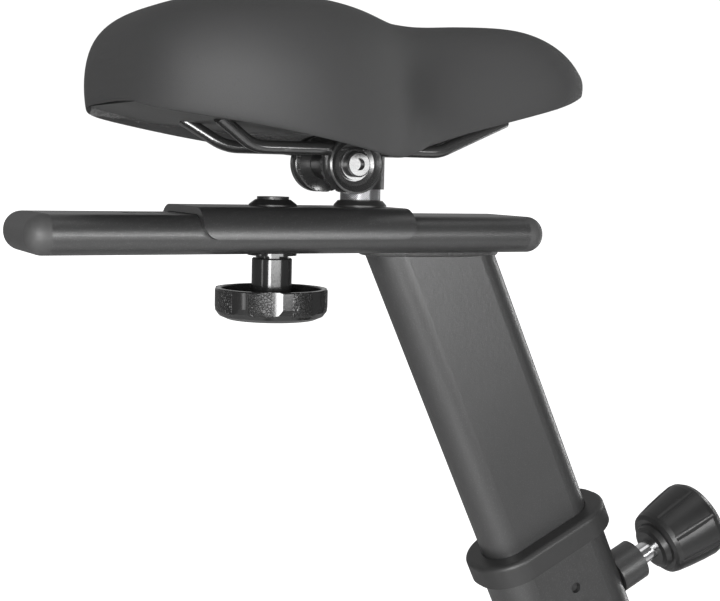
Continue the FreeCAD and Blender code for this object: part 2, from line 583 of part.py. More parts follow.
def drive_parts():
    parts = {}
    spindle = across(10, BB_X, BB_Z, -ARM_OUT - 2, ARM_OUT + 2)
    spindle_step = across(13, BB_X, BB_Z, -ARM_IN + 2, -28.0)
    parts["crank_spindle"] = join(spindle, spindle_step)
    parts["crank_bearings"] = group(*[across(21 - 0.02, BB_X, BB_Z, s * 22.5, s * 10.5)
                                      .cut(across(10 + RUNNING, BB_X, BB_Z, -40, 40)) for s in (-1, 1)])
    wheel = across(DRIVE_R, BB_X, BB_Z, BELT_IN, BELT_OUT)
    for y0, y1 in ((BELT_IN + 1, BELT_IN - 5), (BELT_OUT - 1, BELT_OUT + 5)):
        web = across(DRIVE_R - 12, BB_X, BB_Z, y0, y1).cut(across(26, BB_X, BB_Z, y0, y1))
        wheel = wheel.cut(web)
    for i in range(6):
        angle = math.radians(60 * i)
        wheel = wheel.cut(across(16, BB_X + 54 * math.cos(angle), BB_Z + 54 * math.sin(angle), -60, 0))
    parts["drive_pulley"] = wheel.cut(across(13, BB_X, BB_Z, -60, 0))
    for name, side in (("right", -1), ("left", 1)):
        parts["crank_arm_" + name] = crank_arm(side)
        parts["pedal_" + name] = pedal(side)
        parts["toe_strap_" + name] = toe_strap(side)
    axles = []
    for side in (-1, 1):
        x = BB_X - side * CRANK_LENGTH
        stub = across(6, x, BB_Z, side * ARM_OUT, side * (ARM_OUT + 98))
        collar_ring = across(10, x, BB_Z, side * ARM_OUT, side * (ARM_OUT + 6))
        axles.append(join(stub, collar_ring))
    parts["pedal_axles"] = group(*axles)

    web = across(FLY_R, FLY_X, FLY_Z, -FLY_HALF, FLY_HALF)
    for side in (-1, 1):
        dish = across(FLY_R - 42, FLY_X, FLY_Z, side * 5, side * 20).cut(across(44, FLY_X, FLY_Z, side * 4, side * 21))
        web = web.cut(dish)
    web = round_edges(web, 1.5, lambda e: e.Length > 2 * math.pi * (FLY_R - 1))
    hub = across(30, FLY_X, FLY_Z, -24, 24)
    bore = across(17.5, FLY_X, FLY_Z, -60, 60)
    parts["flywheel"] = join(web, hub).cut(bore)
    parts["flywheel_bearings"] = group(*[across(17.5, FLY_X, FLY_Z, s * 24, s * 13)
                                         .cut(across(AXLE_R + RUNNING, FLY_X, FLY_Z, -60, 60)) for s in (-1, 1)])
    small = join(across(DRIVEN_R, FLY_X, FLY_Z, BELT_IN, BELT_OUT), across(20, FLY_X, FLY_Z, -24, BELT_IN))
    parts["flywheel_pulley"] = small.cut(across(AXLE_R + 1.5, FLY_X, FLY_Z, -60, 0))
    axle = across(AXLE_R, FLY_X, FLY_Z, -104, 104)
    nuts = [hexagon(side * 90.2, side * 100) for side in (-1, 1)]
    spacers = [across(11, FLY_X, FLY_Z, side * 48.6, side * 63.8) for side in (-1, 1)]
    parts["flywheel_axle"] = join(axle, *nuts, *spacers)
    loop = between(belt_line(GAP + BELT_THICK), BELT_IN - 1, BELT_OUT + 1)
    parts["drive_belt"] = loop.cut(between(belt_line(GAP), BELT_IN + 5, BELT_OUT - 5))

    shell = between(belt_line(20), -28, -60)
    shell = shell.makeFillet(6, [e for e in shell.Edges if abs(e.BoundBox.YMax + 60) < 0.01])
    hollow = between(belt_line(17.4), -20, -57.4)
    openings = [across(14.5, BB_X, BB_Z, -70, 0), across(13, FLY_X, FLY_Z, -70, 0)]
    parts["belt_cover_outer"] = shell.cut(hollow).cut(openings[0]).cut(openings[1])
    inner = between(belt_line(20), -25.4, -28)
    inner = inner.cut(across(14.5, BB_X, BB_Z, -70, 0)).cut(across(22, FLY_X, FLY_Z, -70, 0))
    parts["belt_cover_inner"] = inner
    return parts


def hexagon(y0, y1):
    radius = 12.5
    corners = [V(FLY_X + radius * math.cos(math.radians(60 * i)), 0,
                 FLY_Z + radius * math.sin(math.radians(60 * i))) for i in range(7)]
    return between(Part.Face(Part.makePolygon(corners)), y0, y1)


def crank_arm(side):
    """Forged arm. The right one points forward at rest and the left one back."""
    x = BB_X - side * CRANK_LENGTH
    centre = V((BB_X + x) / 2, side * ARM_IN, BB_Z)
    arm = rounded_face(centre, V(1, 0, 0), Z_AXIS, CRANK_LENGTH + 36, 30, 14.9).extrude(V(0, side * 16, 0))
    waist = [rounded_face(centre + V(0, 0, s * 29.0), V(1, 0, 0), Z_AXIS, CRANK_LENGTH - 34, 34, 16.9)
             .extrude(V(0, side * 16, 0)) for s in (-1, 1)]
    boss = across(20, BB_X, BB_Z, side * ARM_IN, side * (ARM_OUT + 3))
    arm = join(arm.cut(waist[0]).cut(waist[1]), boss)
    return arm.cut(across(10, BB_X, BB_Z, side * (ARM_IN - 1), side * (ARM_OUT + 2)))


def pedal(side):
    """Platform pedal with a hollow cage round its axle barrel."""
    x = BB_X - side * CRANK_LENGTH
    y = side * (ARM_OUT + 54)
    body = rounded_face(V(x, y, BB_Z), V(1, 0, 0), Y_AXIS, 96, 88, 14).extrude(V(0, 0, 28))
    body.translate(V(0, 0, -18))
    for s in (-1, 1):
        window = rounded_face(V(x + s * 28, y, BB_Z - 20), V(1, 0, 0), Y_AXIS, 26, 66, 6).extrude(V(0, 0, 40))
        body = body.cut(window)
    bore = across(6 + RUNNING, x, BB_Z, side * ARM_OUT, side * (ARM_OUT + 98 + GAP))
    return body.cut(bore)


def toe_strap(side):
    """Band over the pedal, from one side of the platform to the other."""
    x = BB_X - side * CRANK_LENGTH
    middle = V(x + 4, side * (ARM_OUT + 54), BB_Z + 20)
    outer = rounded_face(middle - V(15, 0, 0), Y_AXIS, Z_AXIS, 104, 104, 34).extrude(V(30, 0, 0))
    inner = rounded_face(middle - V(17, 0, 0), Y_AXIS, Z_AXIS, 99, 99, 31.5).extrude(V(34, 0, 0))
    band = outer.cut(inner)
    low = slab(x - 60, x + 60, middle.y - 60, middle.y + 60, BB_Z - 60, BB_Z - 12)
    tabs = [slab(x - 11, x + 19, min(a, b), max(a, b), BB_Z - 12, BB_Z + 6)
            for a, b in ((middle.y - 49.6, middle.y - 44 - GAP / 3), (middle.y + 44 + GAP / 3, middle.y + 49.6))]
    return join(band.cut(low), *tabs).cut(across(10.5, x, BB_Z, -300, 300))


# ---- brake -----------------------------------------------------------------------------------

def brake_parts():
    parts = {}
    start = BRAKE_AXIS - MAIN_AHEAD * 84
    push = cylinder(start, MAIN_AHEAD, 5.4, 84 + 58)
    parts["brake_rod"] = push
    parts["brake_knob"] = brake_knob()
    shoe = FLY + V(math.cos(math.radians(SHOE_ANGLE)), 0, math.sin(math.radians(SHOE_ANGLE))) * (FLY_R + 8)
    plates = []
    for side in (-1, 1):
        y = side * 21
        run = shoe - BRAKE_PIVOT
        middle = BRAKE_PIVOT + run * 0.5
        along = V(run.x, 0, run.z).normalize()
        plate = rounded_face(middle + Y_AXIS * (y - 2), V(along.z, 0, -along.x), along,
                             24, run.Length + 30, 11).extrude(Y_AXIS * 4)
        block = rounded_face(shoe + Y_AXIS * (y - 2), V(along.z, 0, -along.x), along,
                             34, 64, 6).extrude(Y_AXIS * 4)
        magnets = [cylinder(shoe + along * d + Y_AXIS * (side * 19), Y_AXIS * -side, 11, 3.4) for d in (-17, 17)]
        plates.append(join(plate, block, *magnets))
    pad_point = BRAKE_AXIS + MAIN_AHEAD * 59
    bridge = bar(pad_point + V(12, -21, 0), pad_point + V(12, 21, 0), MAIN_AHEAD, MAIN_DIR, 14, 16, 3)
    pad = cylinder(pad_point, MAIN_AHEAD, 9, 14)
    lever = join(plates[0], plates[1], bridge, pad)
    parts["brake_lever"] = lever.cut(across(5 + RUNNING, BRAKE_PIVOT.x, BRAKE_PIVOT.z, -40, 40))
    return parts


def brake_knob():
    start = BRAKE_AXIS - MAIN_AHEAD * 76
    knob = pull_knob(start, MAIN_AHEAD * -1, 1.0)
    return knob.cut(cylinder(BRAKE_AXIS - MAIN_AHEAD * 84, MAIN_AHEAD, 5.4 + RUNNING, 60))


# ---- handlebar and console ---------------------------------------------------------------------

def bar_tubes(x, z, mirror, wall):
    """The bent tubes, or with a wall the space inside them."""
    cross = across(BAR_R - wall, x, z, -150, 150)
    horns = []
    for side in (-1, 1):
        outer = mirror(side, [(x, 120, z), (x, 215, z), (x + 120, 222, z + 14), (x + 235, 212, z + 62)])
        horns.append(rod(outer, BAR_R - wall, 42))
    loop = [V(x, 48, z), V(x + 130, 48, z + 16), V(x + 235, 44, z + 78), V(x + 235, -44, z + 78),
            V(x + 130, -48, z + 16), V(x, -48, z)]
    return join(cross, *horns, rod(loop, BAR_R - 1 - wall, 30))


def handlebar_parts():
    parts = {}
    post = post_tube(HEAD, HEAD_TOP + BAR_EXTENSION + 20, HEAD_TOP - 105)
    above = slab(BAR_TOP.x - 200, BAR_TOP.x + 200, -60, 60, BAR_TOP.z, BAR_TOP.z + 200)
    post = post.cut(above)
    for i in range(-2, 4):
        hole = cylinder(HEAD.at(PIN_UP + i * POST_HOLE_PITCH), HEAD.ahead * -1, 5, 60)
        post = post.cut(hole)
    plate = bar(V(BAR_TOP.x, 0, BAR_TOP.z), V(BAR_TOP.x, 0, BAR_TOP.z + 2 * BAR_R - 4),
                V(1, 0, 0), Y_AXIS, 84, 60, 10)
    parts["handlebar_post"] = post
    x, z = BAR_TOP.x, BAR_Z

    def mirror(side, points):
        return [V(px, side * py, pz) for px, py, pz in points]

    bars = bar_tubes(x, z, mirror, 0).fuse(plate).cut(bar_tubes(x, z, mirror, BAR_WALL)).removeSplitter()
    bracket = join(slab(CONSOLE_PIVOT.x - 11, CONSOLE_PIVOT.x + 11, -20, -16.3, z + 8, CONSOLE_PIVOT.z),
                   across(11, CONSOLE_PIVOT.x, CONSOLE_PIVOT.z, -20, -16.3))
    bracket = join(bracket, bracket.mirror(V(0, 0, 0), Y_AXIS),
                   slab(CONSOLE_PIVOT.x - 11, CONSOLE_PIVOT.x + 11, -48, 48, z + 8, z + 13),
                   across(4, CONSOLE_PIVOT.x, CONSOLE_PIVOT.z, -22, 22))
    parts["handlebar"] = bars
    parts["console_bracket"] = largest(bracket.cut(bars))
    grips = []
    for side in (-1, 1):
        line = mirror(side, [(x + 72, 219.2, z + 8.4), (x + 120, 222, z + 14), (x + 233, 212.2, z + 61.2)])
        sleeve = rod(line, BAR_R + 4, 42)
        core = rod(mirror(side, [(x, 120, z), (x, 215, z), (x + 120, 222, z + 14), (x + 235, 212, z + 62)]), BAR_R + 0.15, 42)
        grips.append(largest(sleeve.cut(core).cut(bars)))
        tip = V(x + 235, side * 212, z + 62)
        way = (tip - V(x + 120, side * 222, z + 14)).normalize()
        grips.append(spun([(0, 0), (BAR_R + 4, 0), (BAR_R + 4, 3), (BAR_R, 8), (0, 9.5)], tip + way * 0.6, way).cut(bars))
    parts["handlebar_grips"] = group(*grips)
    return parts


def console_parts():
    """Small display that tilts on the bracket's pin."""
    parts = {}
    hinge = across(9, CONSOLE_PIVOT.x, CONSOLE_PIVOT.z, -16, 16)
    lean = math.radians(32)
    face_up = V(-math.sin(lean), 0, math.cos(lean))
    along = V(math.cos(lean), 0, math.sin(lean))
    centre = CONSOLE_PIVOT + face_up * 17 + along * 34
    case = rounded_face(centre, along, Y_AXIS, 92, 150, 16).extrude(face_up * 26)
    edges = [e for e in case.Edges if e.CenterOfMass.sub(centre).dot(face_up) > 25.9]
    case = case.makeFillet(5, edges)
    neck = bar(CONSOLE_PIVOT, CONSOLE_PIVOT + face_up * 17, along, Y_AXIS, 16, 32, 3)
    glass_room = rounded_face(centre + face_up * 24.4, along, Y_AXIS, 62, 118, 6).extrude(face_up * 4)
    glass_room.translate(along * 10)
    button = cylinder(centre + face_up * 20 - along * 33, face_up, 7.3, 10)
    case = join(case, hinge, neck).cut(glass_room).cut(button)
    parts["console_housing"] = case.cut(across(4 + RUNNING, CONSOLE_PIVOT.x, CONSOLE_PIVOT.z, -30, 30))
    screen = rounded_face(centre + face_up * 24.4, along, Y_AXIS, 61.6, 117.6, 5.8).extrude(face_up * 1.2)
    screen.translate(along * 10)
    parts["console_screen"] = screen
    parts["console_button"] = cylinder(centre + face_up * 22.5 - along * 33, face_up, 7.0, 5.0)
    return parts


# ---- floor contact -----------------------------------------------------------------------------

def levelling_foot(x, y):
    outline = [(0, 0), (21, 0), (23, 2), (23, 8), (20, 11), (10, 13), (8, 15), (8, 20), (5, 20), (5, 50), (0, 50)]
    return spun(outline, V(x, y, 0), Z_AXIS)


def transport_wheel(side):
    outline = [(5.1, -11), (24, -11), (28, -10.4), (WHEEL_R, -8), (WHEEL_R, 8), (28, 10.4), (24, 11), (5.1, 11)]
    return spun(outline, V(WHEEL_X, side * WHEEL_Y, WHEEL_Z), Y_AXIS)


def build():
    parts = frame_parts()
    parts["seat_post"] = seat_post()
    parts["seat_rail"] = seat_rail()
    parts["rail_end_caps"] = group(rail_cap(RAIL_BACK, -1), rail_cap(RAIL_FRONT, 1))
    parts["carriage"] = carriage()
    parts["carriage_boss"] = carriage_boss()
    parts["saddle_pin"] = saddle_pin()
    parts["carriage_knob"] = carriage_knob()
    parts.update(clamp_parts())
    parts["saddle_rails"] = saddle_rails()
    parts["saddle_base"] = saddle_base()
    parts["saddle_pad"] = saddle_pad()
    parts["seat_pin_plunger"] = plunger(SEAT, -PIN_HEIGHT, 1)
    parts["seat_pin_knob"] = pull_knob(SEAT.at(-PIN_HEIGHT, 76), SEAT.ahead)
    parts["handlebar_pin_plunger"] = plunger(HEAD, PIN_UP, -1)
    parts["handlebar_pin_knob"] = pull_knob(HEAD.at(PIN_UP, -76), HEAD.ahead * -1)
    parts.update(drive_parts())
    parts.update(brake_parts())
    parts.update(handlebar_parts())
    parts.update(console_parts())
    parts["levelling_feet"] = group(*[levelling_foot(x, y) for x, y in FEET])
    parts["transport_wheel_left"] = transport_wheel(1)
    parts["transport_wheel_right"] = transport_wheel(-1)
    return parts


def main():
    os.makedirs("parts", exist_ok=True)
    for name, shape in build().items():
        if not shape.isValid():
            print("not valid:", name)
        if not shape.Solids:
            print("no solid:", name)
        shape.exportStep("parts/" + name + ".step")


if __name__ == "__main__":
    main()
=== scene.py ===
"""Looks of the exercise bike: its finishes, the stuffed saddle and the small trim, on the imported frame."""
import math

import bpy
from mathutils import Matrix, Vector


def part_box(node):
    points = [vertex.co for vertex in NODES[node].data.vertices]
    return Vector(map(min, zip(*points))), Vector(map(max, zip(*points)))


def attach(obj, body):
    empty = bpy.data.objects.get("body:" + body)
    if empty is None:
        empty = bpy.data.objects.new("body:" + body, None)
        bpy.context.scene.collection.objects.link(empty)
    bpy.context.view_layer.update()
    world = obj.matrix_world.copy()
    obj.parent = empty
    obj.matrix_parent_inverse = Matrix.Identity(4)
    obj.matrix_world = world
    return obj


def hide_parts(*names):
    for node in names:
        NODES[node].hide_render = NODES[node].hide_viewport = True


bl_info = {
    "name": "Exercise Bike",
    "version": (1, 0, 0),
    "blender": (4, 5, 0),
    "location": "3D View > Sidebar > Bike",
    "description": "Finishes, saddle and trim of an indoor exercise bike",
    "category": "Object",
}

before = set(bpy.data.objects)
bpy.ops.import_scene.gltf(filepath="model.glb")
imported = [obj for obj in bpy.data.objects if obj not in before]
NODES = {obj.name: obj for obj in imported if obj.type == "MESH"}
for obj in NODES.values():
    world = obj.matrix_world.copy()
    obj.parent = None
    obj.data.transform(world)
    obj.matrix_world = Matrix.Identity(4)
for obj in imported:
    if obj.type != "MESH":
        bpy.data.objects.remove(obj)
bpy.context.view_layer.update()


def middle(node):
    low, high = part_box(node)
    return (Vector(low) + Vector(high)) / 2


STUB = middle("saddle_pin")
RAIL = middle("seat_rail")
SADDLE_DATUM = Vector((STUB.x, 0, RAIL.z))      # on the stub's axis, at the saddle rail's mid height
KNOB_AXIS = (SADDLE_DATUM.x - 0.0521, 0, RAIL.z)
KNOB_PANELS = 8
CRANK = middle("crank_bearings")
AXLE = middle("flywheel")
POST_LEAN = math.radians(24.9)
POST_FOOT = Vector((0.0447, 0, -0.0101))        # middle of the post at the rail's underside, from the datum
POST_HALF_DEPTH, POST_HALF_WIDTH = 0.0366, 0.0164
LENS = 67.607
LENS_SHIFT = (-0.0067, -0.0059)
CAMERA_PLACE = Vector((-0.33574, -0.66898, 0.03624))        # from the datum
CAMERA_TURNS = tuple(math.radians(angle) for angle in (26.95, 5.47, 1.39))        # yaw, pitch and roll
WORLD_DIM, WORLD_BRIGHT, WORLD_SEEN = 0.12, 0.45, 1.05
# Lamps: name, place from the datum, width, height and power.
LAMPS = [
    ("key", (-0.05, -1.6, 0.0), 1.9, 0.34, 25.0), ("near_camera", (-0.95, -1.3, 0.05), 0.36, 0.9, 30.0),
    ("top", (0.2, -0.6, 1.8), 2.0, 0.9, 5.0), ("strip_left", (-2.1, -0.4, 0.1), 0.25, 1.6, 5.0),
    ("strip_right", (1.9, 0.5, -0.2), 0.16, 2.4, 12.0)]


# ---- finishes --------------------------------------------------------------------------------

class Signal:
    """A socket in a finish. Arithmetic on it adds Math nodes."""

    def __init__(self, finish, socket):
        self.finish = finish
        self.socket = socket

    def _math(self, operation, first, second=None):
        values = {0: first} if second is None else {0: first, 1: second}
        return self.finish.add("ShaderNodeMath", {"operation": operation}, values)["Value"]

    def __add__(self, other):
        return self._math("ADD", self, other)

    def __radd__(self, other):
        return self._math("ADD", other, self)

    def __sub__(self, other):
        return self._math("SUBTRACT", self, other)

    def __rsub__(self, other):
        return self._math("SUBTRACT", other, self)

    def __mul__(self, other):
        return self._math("MULTIPLY", self, other)

    def __rmul__(self, other):
        return self._math("MULTIPLY", other, self)

    def __truediv__(self, other):
        return self._math("DIVIDE", self, other)

    def __pow__(self, other):
        return self._math("POWER", self, other)

    def sine(self):
        return self._math("SINE", self)

    def size(self):
        return self._math("ABSOLUTE", self)

    def larger(self, other):
        return self._math("MAXIMUM", self, other)

    def heading(self, other):
        return self._math("ARCTAN2", self, other)

    def between(self, low, high):
        """0 below low, 1 above high, smooth between."""
        return self.finish.add("ShaderNodeMapRange", {"interpolation_type": "SMOOTHSTEP"},
                               {"Value": self, "From Min": low, "From Max": high})["Result"]


class Outputs:
    """A node's outputs, read by name as signals."""

    def __init__(self, finish, node):
        self.finish = finish
        self.node = node

    def __getitem__(self, name):
        found = [s for s in self.node.outputs if s.name == name and s.enabled]
        return Signal(self.finish, found[0])


class Finish:
    """One procedural material, built a node at a time."""

    def __init__(self, name):
        self.material = bpy.data.materials.new(name)
        self.material.use_nodes = True
        self.tree = self.material.node_tree
        self.tree.nodes.clear()
        self.place = self.add("ShaderNodeTexCoord")["Object"]

    def add(self, kind, settings=None, values=None):
        node = self.tree.nodes.new(kind)
        for name, value in (settings or {}).items():
            setattr(node, name, value)
        for name, value in (values or {}).items():
            if isinstance(name, str):
                socket = [s for s in node.inputs if s.name == name and s.enabled][0]
            else:
                socket = node.inputs[name]
            if isinstance(value, Signal):
                self.tree.links.new(value.socket, socket)
            elif isinstance(value, tuple) and len(value) == 3 and socket.type == "RGBA":
                socket.default_value = (*value, 1)
            else:
                socket.default_value = value
        return Outputs(self, node)

    def grain(self, scale, detail=3.0, rough=0.55, stretch=None):
        """Noise between 0 and 1. The scale is in lumps per metre."""
        place = self.place
        if stretch:
            place = self.add("ShaderNodeMapping", None, {"Vector": place, "Scale": stretch})["Vector"]
        return self.add("ShaderNodeTexNoise", None,
                        {"Vector": place, "Scale": scale, "Detail": detail, "Roughness": rough})["Fac"]

    def cells(self, scale):
        """Distance to the edge of a cell. The scale is in cells per metre."""
        return self.add("ShaderNodeTexVoronoi", {"feature": "DISTANCE_TO_EDGE"},
                        {"Vector": self.place, "Scale": scale})["Distance"]

    def axes(self, centre=(0, 0, 0)):
        """The three coordinates in metres, from a centre."""
        moved = self.add("ShaderNodeVectorMath", {"operation": "SUBTRACT"}, {0: self.place, 1: tuple(centre)})
        parts = self.add("ShaderNodeSeparateXYZ", None, {"Vector": moved["Vector"]})
        return parts["X"], parts["Y"], parts["Z"]

    def blend(self, amount, dark, light):
        """Colour between two colours, by an amount between 0 and 1."""
        return self.add("ShaderNodeMix", {"data_type": "RGBA", "clamp_factor": True},
                        {"Factor": amount, "A": dark, "B": light})["Result"]

    def relief(self, height, depth, strength=1.0, under=None):
        values = {"Height": height, "Distance": depth, "Strength": strength}
        if under is not None:
            values["Normal"] = under
        return self.add("ShaderNodeBump", None, values)["Normal"]

    def done(self, **sockets):
        """Closes the finish with one surface shader. Socket names are written with underscores."""
        values = {name.replace("_", " "): value for name, value in sockets.items() if value is not None}
        surface = self.add("ShaderNodeBsdfPrincipled", None, values)["BSDF"]
        self.add("ShaderNodeOutputMaterial", None, {"Surface": surface})
        return self.material


def powder_coat(name, tone):
    """Satin charcoal powder coat with a fine sparkle and a slight orange peel."""
    f = Finish(name)
    speck = f.grain(1500, 1.0).between(0.56, 0.74)
    cloud = f.grain(14, 2.0)
    low = f.blend(cloud, (tone * 0.9,) * 3, (tone * 1.12, tone * 1.12, tone * 1.14))
    colour = f.blend(speck * 0.42, low, (tone * 4.2,) * 3)
    rub = f.grain(55, 4.0, 0.7).between(0.62, 0.8)
    peel = f.relief(f.grain(420, 2.0), 0.00016, 0.35)
    normal = f.relief(f.grain(1900, 2.0), 0.00008, 0.55, peel)
    return f.done(Base_Color=colour, Roughness=0.34 + cloud * 0.06 + rub * 0.05, Metallic=0.0,
                  Specular_IOR_Level=0.85, Normal=normal)


def moulded(name, tone, rough, grain=900.0, depth=0.00008):
    """Moulded plastic with a fine spark-eroded grain and faint flow clouds."""
    f = Finish(name)
    cloud = f.grain(22, 2.0)
    dust = f.grain(2600, 1.0).between(0.6, 0.75)
    colour = f.blend(cloud, (tone * 0.88,) * 3, (tone * 1.12,) * 3)
    colour = f.blend(dust * 0.18, colour, (tone * 2.5,) * 3)
    normal = f.relief(f.cells(grain), depth, 0.5, f.relief(f.grain(grain * 2, 2.0), depth * 0.5, 0.5))
    return f.done(Base_Color=colour, Roughness=rough + cloud * 0.08, Normal=normal)


def knob_gloss(name, tone, panels=0, centre=None, rough=0.2):
    """Glossy knob plastic; its side can carry panels of crazed texture."""
    f = Finish(name)
    x, y, z = f.axes(centre or (0, 0, 0))
    cloud = f.grain(30, 2.0)
    colour = f.blend(cloud, (tone * 0.9,) * 3, (tone * 1.15,) * 3)
    scuff = f.grain(160, 4.0, 0.7).between(0.58, 0.8)
    if not panels:
        normal = f.relief(f.grain(700, 2.0), 0.00005, 0.35)
        return f.done(Base_Color=colour, Roughness=rough + scuff * 0.12 + cloud * 0.05, Normal=normal)
    turn = y.heading(x) * panels
    panel = turn.sine().between(-0.25, 0.15) * (x * x + y * y).between(0.029 ** 2, 0.0295 ** 2)
    skin = f.cells(620).between(0.02, 0.16)
    normal = f.relief(skin * panel, 0.00035, 0.9, f.relief(f.grain(500, 2.0), 0.00004, 0.3))
    return f.done(Base_Color=colour, Roughness=rough * 0.7 + panel * 0.12 + scuff * 0.08, Normal=normal)


def saddle_vinyl():
    """Smooth dark vinyl cover with a very fine leather grain and soft shading in its colour."""
    f = Finish("saddle_vinyl")
    cloud = f.grain(9, 3.0)
    pores = f.cells(1500)
    colour = f.blend(cloud, (0.030, 0.030, 0.0303), (0.036, 0.036, 0.0364))
    colour = f.blend(pores.between(0.0, 0.05), (0.026,) * 3, colour)
    crease = f.relief(f.grain(26, 3.0, 0.6), 0.0012, 0.16)
    grain = f.relief(pores.between(0.0, 0.12), 0.00006, 0.5, crease)
    return f.done(Base_Color=colour, Roughness=0.56 + cloud * 0.10, Specular_IOR_Level=0.3,
                  Normal=f.relief(f.grain(3000, 1.0), 0.00003, 0.4, grain))


def underside_cloth():
    """Fuzzy black backing cloth stapled under the cover."""
    f = Finish("backing_cloth")
    fuzz = f.grain(700, 5.0, 0.75, (1.0, 0.45, 1.0))
    clump = f.grain(120, 4.0, 0.7)
    colour = f.blend(fuzz.between(0.45, 0.8), (0.006,) * 3, (0.05,) * 3)
    return f.done(Base_Color=colour, Roughness=0.9 + clump * 0.08, Sheen_Weight=0.4,
                  Normal=f.relief(clump, 0.0015, 0.8, f.relief(fuzz, 0.0008, 0.9)))


def black_steel(name, tone, rough, metal=0.8):
    """Black-plated steel, glossy, with drawn scratches and worn light spots."""
    f = Finish(name)
    drawn = f.grain(900, 3.0, 0.6, (0.15, 1.0, 1.0))
    worn = f.grain(240, 5.0, 0.7).between(0.62, 0.8)
    colour = f.blend(worn * 0.5, (tone,) * 3, (tone * 6,) * 3)
    return f.done(Base_Color=colour, Metallic=metal + worn * 0.15, Roughness=rough + drawn * 0.14,
                  Normal=f.relief(drawn, 0.00005, 0.4))


def bright_steel():
    """Polished plated steel with fine turning lines."""
    f = Finish("pin_steel")
    lines = f.grain(2600, 2.0, 0.5, (1.0, 0.05, 1.0))
    film = f.grain(90, 3.0)
    colour = f.blend(film, (0.72, 0.72, 0.73), (0.86, 0.86, 0.87))
    return f.done(Base_Color=colour, Metallic=1.0, Roughness=0.12 + film * 0.10,
                  Normal=f.relief(lines, 0.00003, 0.35))


def knurled_stub():
    """Black-plated saddle stub with a diamond knurl above its flange."""
    f = Finish("knurled_stub")
    x, y, z = f.axes(tuple(SADDLE_DATUM))
    turn = y.heading(x)
    up = z * (math.tau / 0.0021)
    rise = ((turn * 34.0 + up).sine().size()).larger((turn * 34.0 - up).sine().size())
    band = z.between(0.0178, 0.0184) * (1.0 - z.between(0.0238, 0.0243))
    ridge = rise.between(0.55, 0.98) * band
    colour = f.blend(ridge, (0.02,) * 3, (0.30, 0.30, 0.31))
    return f.done(Base_Color=colour, Metallic=0.2 + ridge * 0.7, Roughness=0.38 - ridge * 0.1,
                  Normal=f.relief(ridge, 0.0005, 0.9, f.relief(f.grain(900, 2.0), 0.00005, 0.3)))


def machined_iron():
    """Flywheel: lacquered dark faces with a turned, polished rim."""
    f = Finish("flywheel_iron")
    x, y, z = f.axes(tuple(AXLE))
    reach = (x * x + z * z) ** 0.5
    rim = reach.between(0.1935, 0.1945)
    lane = reach.between(0.158, 0.1585)
    turned = (reach * (math.tau / 0.0009)).sine() * 0.5 + f.grain(300, 3.0) * 0.5
    cast = f.grain(260, 4.0, 0.65)
    painted = f.blend(cast, (0.016,) * 3, (0.028,) * 3)
    lacquer = f.blend(turned.between(0.1, 0.9), (0.20, 0.20, 0.205), (0.34, 0.34, 0.345))
    colour = f.blend(lane, painted, lacquer)
    colour = f.blend(rim, colour, (0.52, 0.52, 0.53))
    normal = f.relief(turned * lane, 0.00006, 0.5, f.relief(cast * (1.0 - lane), 0.0003, 0.5))
    return f.done(Base_Color=colour, Metallic=lane * 0.9,
                  Roughness=0.46 - lane * 0.16 + cast * 0.06, Normal=normal)


def ground_steel():
    f = Finish("ground_steel")
    lines = f.grain(1800, 3.0, 0.6, (1.0, 0.08, 1.0))
    stain = f.grain(60, 4.0, 0.6)
    colour = f.blend(stain, (0.42, 0.42, 0.43), (0.60, 0.60, 0.61))
    return f.done(Base_Color=colour, Metallic=1.0, Roughness=0.24 + lines * 0.18,
                  Normal=f.relief(lines, 0.00004, 0.4))


def black_alloy():
    """Anodised pedal alloy, scuffed bright at its corners by shoes."""
    f = Finish("black_alloy")
    edge = f.grain(70, 4.0, 0.7).between(0.58, 0.74)
    blast = f.grain(1500, 2.0)
    colour = f.blend(edge * 0.4, (0.03, 0.03, 0.032), (0.22, 0.22, 0.225))
    return f.done(Base_Color=colour, Metallic=0.7, Roughness=0.36 + blast * 0.16,
                  Normal=f.relief(blast, 0.00008, 0.5))


def rubber(name, tone=0.014, ribs=0.0):
    """Moulded rubber, dusty in its pits. Ribs are a pitch in metres, or none."""
    f = Finish(name)
    pits = f.grain(1100, 3.0)
    dust = f.grain(34, 4.0, 0.65).between(0.5, 0.75)
    colour = f.blend(dust * 0.35, (tone,) * 3, (tone * 3.4, tone * 3.3, tone * 3.2))
    normal = f.relief(pits, 0.0001, 0.6)
    if ribs:
        x, y, z = f.axes()
        normal = f.relief((x * (math.tau / ribs)).sine(), 0.0003, 0.6, normal)
    return f.done(Base_Color=colour, Roughness=0.62 + pits * 0.14, Normal=normal)


def foam_grip():
    """Dipped foam with a fine open-cell skin and shallow moulded rings."""
    f = Finish("foam_grip")
    x, y, z = f.axes()
    skin = f.cells(900).between(0.0, 0.2)
    rings = (x * (math.tau / 0.012)).sine().between(0.75, 0.98)
    colour = f.blend(skin, (0.010,) * 3, (0.024,) * 3)
    return f.done(Base_Color=colour, Roughness=0.7 - rings * 0.05 + skin * 0.1,
                  Normal=f.relief(rings, 0.0012, 0.6, f.relief(skin, 0.0003, 0.6)))


def webbing():
    """Woven strap: a fine twill across its width."""
    f = Finish("strap_webbing")
    x, y, z = f.axes()
    warp = ((x + y) * (math.tau / 0.0016)).sine()
    weft = ((x - z) * (math.tau / 0.0022)).sine()
    weave = warp.size().larger(weft.size())
    colour = f.blend(weave, (0.010,) * 3, (0.034,) * 3)
    return f.done(Base_Color=colour, Roughness=0.74 + weave * 0.1, Normal=f.relief(weave, 0.0003, 0.7))


